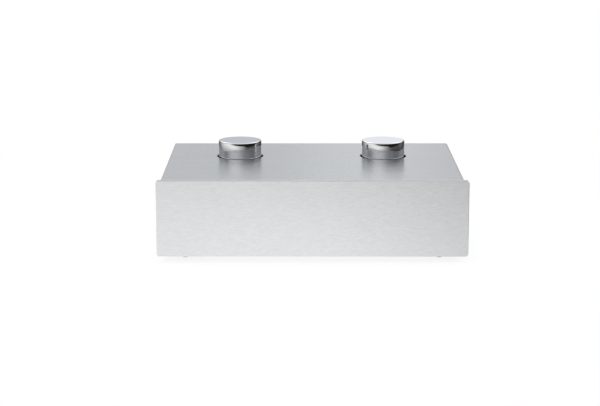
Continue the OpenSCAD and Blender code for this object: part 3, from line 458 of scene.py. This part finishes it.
def ground_stud():
    """The ground post with its collar and a real screw thread."""
    low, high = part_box("ground_post")
    middle_x, middle_z = (low.x + high.x) / 2, (low.z + high.z) / 2
    washer_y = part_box("ground_washer")[0].y
    collar_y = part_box("rear_panel")[1].y
    collar_r = (high.x - low.x) / 2
    step = STUD_THREAD[1] / THREAD_STEPS

    def ring(y, radius, thread=None):
        return ring_y(middle_x, y, middle_z, radius, thread)

    rings = [ring(y, STUD_R, STUD_THREAD) for y in spread(low.y, collar_y, step)]
    rings += [ring(y, radius) for y, radius in (
        (collar_y, collar_r - COLLAR_EDGE), (collar_y + COLLAR_EDGE, collar_r),
        (washer_y - COLLAR_EDGE, collar_r), (washer_y, collar_r - COLLAR_EDGE))]
    rings += [ring(y, STUD_R, STUD_THREAD) for y in spread(washer_y, high.y - STUD_TIP, step)]
    rings.append(ring(high.y, STUD_R - STUD_TIP))
    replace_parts(solid("ground_stud", "socket_gold", rings), "ground_post")


def bushing_threads():
    """The screw thread outside the nut of each ratio switch's bushing."""
    nut_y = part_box("ratio_switch_nuts")[1].y
    end_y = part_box("ratio_switch_bushings")[1].y - BUSHING_END
    places = spread(nut_y, end_y, BUSHING_THREAD[1] / THREAD_STEPS)
    for joint in frame["joints"]:
        if "ratio_switch" in joint["name"]:
            x, _, z = joint["pos_m"]
            rings = [ring_y(x, y, z, BUSHING_R, BUSHING_THREAD) for y in places]
            rings += [ring_y(x, y, z, BUSHING_INNER_R) for y in (end_y, nut_y)]
            solid(joint["name"] + "_thread", "switch_nickel", rings, loop=True)


def windings():
    """Both windings of each limb, as sleeves of real turns."""
    for word in ("left", "right"):
        for kind, (inner, thick, pitch) in WINDINGS.items():
            node = f"{kind}_windings_{word}"
            low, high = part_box(node)
            outer = inner + thick
            reach = (high.x - low.x) / 2 - outer
            size = ((reach - WINDOW_HALF) / 2, (high.y - low.y) / 2 - outer)
            turns = round((high.z - low.z) / pitch)
            turn_h = (high.z - low.z) / turns
            groove = turn_h * GROOVE_SHARE
            for limb, side in (("a", -1), ("b", 1)):
                x = (low.x + high.x) / 2 + side * (reach + WINDOW_HALF) / 2
                limb_at = (x, (low.y + high.y) / 2)
                rings = [limb_ring(*limb_at, low.z + (turn + share) * turn_h, *size, outer - (1 - rise) * groove)
                         for turn in range(turns) for share, rise in TURN_ROUND]
                rings.append(limb_ring(*limb_at, high.z, *size, outer - groove))
                rings += [limb_ring(*limb_at, z, *size, inner) for z in (high.z, low.z)]
                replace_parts(solid(f"{kind}_winding_{word}_{limb}", "winding_copper", rings, loop=True), node)


def foam_pads():
    """A foam disc under each can's lid, with round edges."""
    flat = 1 - FOAM_ROUND
    face = [FOAM_MIDDLE + (flat - FOAM_MIDDLE) * i / FOAM_FACE_STEPS for i in range(FOAM_FACE_STEPS + 1)]
    for word in ("left", "right"):
        node = "foam_pad_" + word
        low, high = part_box(node)
        x, y = (low.x + high.x) / 2, (low.y + high.y) / 2
        r, t = (high.x - low.x) / 2, high.z - low.z
        rings = [ring_z(x, y, low.z, r * share) for share in face]
        for i in range(1, FOAM_EDGE_STEPS):
            a = math.pi * (i / FOAM_EDGE_STEPS - 0.5)
            rings.append(ring_z(x, y, low.z + t / 2 * (1 + math.sin(a)), r * (flat + FOAM_ROUND * math.cos(a))))
        rings += [ring_z(x, y, high.z, r * share) for share in reversed(face)]
        made = solid("foam_disc_" + word, "pad_foam", rings, sharp=80)
        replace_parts(made, node)


ground_stud()
bushing_threads()
windings()
foam_pads()


# Studio

# Lit and dark areas all round the object, in degrees: middle and half width, soft side edge, lowest and highest
# elevation and soft edge there, then the level. 0 is in front of the object, and 90 is to its right. Behind it the
# angle wraps, so a wide area there has a row at 180 and one at -180.
STUDIO = (
    (-60, 67, 45, -30, 7, 2, 0.92),
    (-25, 30, 25, -30, 2, 3, 0.22),
    (-26, 34, 30, 9, 32, 3, 0.88),
    (23, 62, 22, 4.4, 9, 1.2, -0.75),
    (66, 32, 12, 1.8, 9, 1.5, -0.50),
    (72, 60, 20, -30, 1.5, 2, 0.09),
    (24, 30, 20, 9, 32, 3, 0.14),
    (125, 28, 10, -30, 40, 8, 0.06),
    (80, 60, 20, 14, 60, 6, 0.24),
    (-128, 38, 16, 11, 60, 5, 0.26),
    (-180, 21, 6, -30, 50, 10, 0.60),
    (180, 21, 6, -30, 50, 10, 0.60),
    (180, 95, 25, 24, 62, 6, 0.46),
    (-180, 95, 25, 24, 62, 6, 0.46),
    (-128, 32, 14, 25, 60, 5, 0.45),
    (128, 32, 14, 25, 60, 5, 0.45),
    (0, 85, 25, 36, 64, 8, 0.30),
    (178, 2.2, 1.0, 6, 15, 3, 0.30),
)
# The areas are dimmer below WALL_FOOT, and an even light from above comes in over SKY_FROM_TO
WALL_FOOT, WALL_LEVELS = (-12, 5), (0.28, 1.0)
SKY_FROM_TO, SKY_LEVELS = (12, 50), (0.012, 0.62)
STUDIO_COLOUR = (0.985, 0.99, 1.0)

FLOOR_HALF = 12.0
FLOOR_GREY = 0.9
SHADOW_FROM_TO, SHADOW_WHITE = (0.12, 0.4), 0.88  # near the object, the camera sees 12 % of the floor's shading
POOL_MIDDLE, POOL_FROM_TO = (-0.14, -0.15, 0), (0.12, 0.5)  # where glossy rays see a white floor

# Name, place, aim, size and power
LAMPS = (
    ("overhead", (-0.3, -0.1, 1.4), (0, 0, 0), (1.3, 1.3), 13.0),
    ("rear_fill", (0.6, 1.2, 0.7), (0, 0.05, 0.03), (0.8, 0.6), 6.0),
)

LENS, SENSOR = 108, 36
CAMERA_AT = (-0.00819, -1.24148, 0.27799)
CAMERA_DOWN = 11.6
CAMERA_CLIP = (0.05, 60)


def world_build():
    """White to the camera, and for all other rays a soft studio that is drawn by direction."""
    world = bpy.data.worlds.new("studio")
    scene.world = world
    world.use_nodes = True
    s = Shader(world.node_tree)
    xyz = s.node("ShaderNodeSeparateXYZ")
    s.link(s.node("ShaderNodeTexCoord").outputs["Generated"], xyz.inputs[0])
    x, y, z = xyz.outputs
    side = s.maths("ARCTAN2", x, s.maths("MULTIPLY", y, -1.0))
    height = s.maths("ARCSINE", z)

    def soft_box(azimuth, half_wide, side_edge, low, high, edge, level):
        """One row of STUDIO, as a value."""
        across = s.maths("ABSOLUTE", s.maths("SUBTRACT", side, math.radians(azimuth)))
        up = s.maths("ABSOLUTE", s.maths("SUBTRACT", height, math.radians((low + high) / 2)))
        inside = [s.band(value, math.radians(half - soft), math.radians(half + soft), 1.0, 0.0)
                  for value, half, soft in ((across, half_wide, side_edge), (up, (high - low) / 2, edge))]
        return s.maths("MULTIPLY", s.maths("MULTIPLY", *inside), level)

    total = soft_box(*STUDIO[0])
    for box in STUDIO[1:]:
        total = s.maths("ADD", total, soft_box(*box))
    walls = s.band(height, *(math.radians(angle) for angle in WALL_FOOT), *WALL_LEVELS)
    sky = s.band(height, *(math.radians(angle) for angle in SKY_FROM_TO), *SKY_LEVELS)
    total = s.maths("ADD", s.maths("MULTIPLY", s.maths("MAXIMUM", total, 0.0), walls), sky)
    studio = s.node("ShaderNodeBackground")
    s.link(s.tint(STUDIO_COLOUR, total), studio.inputs["Color"])
    plain = s.node("ShaderNodeBackground")
    plain.inputs["Color"].default_value = (1, 1, 1, 1)
    mix = s.node("ShaderNodeMixShader")
    s.link(s.node("ShaderNodeLightPath").outputs["Is Camera Ray"], mix.inputs[0])
    s.link(studio.outputs[0], mix.inputs[1])
    s.link(plain.outputs[0], mix.inputs[2])
    s.link(mix.outputs[0], s.node("ShaderNodeOutputWorld").inputs["Surface"])


def area_lamp(name, place, aim, size, power):
    """A soft lamp for the matt surfaces. Metal shows the studio alone."""
    lamp = bpy.data.lights.new(name, "AREA")
    lamp.shape = "RECTANGLE"
    lamp.size, lamp.size_y = size
    lamp.energy = power
    made = bpy.data.objects.new(name, lamp)
    scene.collection.objects.link(made)
    made.visible_glossy = False
    made.location = place
    made.rotation_euler = (Vector(aim) - Vector(place)).to_track_quat("-Z", "Y").to_euler()


def floor_build():
    """A pale floor that keeps a soft shadow. Glossy rays see it white near the object, and the studio far from it."""
    mesh = bpy.data.meshes.new("floor")
    corners = [(x * FLOOR_HALF, y * FLOOR_HALF, 0) for x, y in ((-1, -1), (1, -1), (1, 1), (-1, 1))]
    mesh.from_pydata(corners, [], [(0, 1, 2, 3)])
    made = bpy.data.objects.new("floor", mesh)
    scene.collection.objects.link(made)
    finish = bpy.data.materials.new("floor_pale")
    finish.use_nodes = True
    s = Shader(finish.node_tree)
    diffuse = s.node("ShaderNodeBsdfDiffuse")
    diffuse.inputs["Color"].default_value = (FLOOR_GREY, FLOOR_GREY, FLOOR_GREY, 1)
    glow = s.node("ShaderNodeEmission")
    glow.inputs["Color"].default_value = (1, 1, 1, 1)
    far = s.node("ShaderNodeVectorMath", operation="LENGTH")
    s.link(s.place(), far.inputs[0])
    pool = s.node("ShaderNodeVectorMath", operation="DISTANCE")
    s.link(s.place(), pool.inputs[0])
    pool.inputs[1].default_value = POOL_MIDDLE
    path = s.node("ShaderNodeLightPath")
    glossy = path.outputs["Is Glossy Ray"]
    seen = s.maths("MULTIPLY", path.outputs["Is Camera Ray"],
                   s.band(far.outputs["Value"], *SHADOW_FROM_TO, SHADOW_WHITE, 1.0))
    seen = s.maths("MAXIMUM", seen, s.maths("MAXIMUM", glossy, path.outputs["Is Transmission Ray"]))
    white = s.node("ShaderNodeMixShader")
    s.link(seen, white.inputs[0])
    s.link(diffuse.outputs[0], white.inputs[1])
    s.link(glow.outputs[0], white.inputs[2])
    fade = s.node("ShaderNodeMixShader")
    s.link(s.maths("MULTIPLY", glossy, s.band(pool.outputs["Value"], *POOL_FROM_TO)), fade.inputs[0])
    s.link(white.outputs[0], fade.inputs[1])
    s.link(s.node("ShaderNodeBsdfTransparent").outputs[0], fade.inputs[2])
    s.link(fade.outputs[0], s.node("ShaderNodeOutputMaterial").inputs["Surface"])
    mesh.materials.append(finish)


world_build()
floor_build()
for lamp_row in LAMPS:
    area_lamp(*lamp_row)

camera = bpy.data.cameras.new("camera")
camera.lens = LENS
camera.sensor_width = SENSOR
camera.clip_start, camera.clip_end = CAMERA_CLIP
camera_object = bpy.data.objects.new("camera", camera)
scene.collection.objects.link(camera_object)
camera_object.location = CAMERA_AT
camera_object.rotation_euler = (math.radians(90 - CAMERA_DOWN), 0, 0)
scene.camera = camera_object
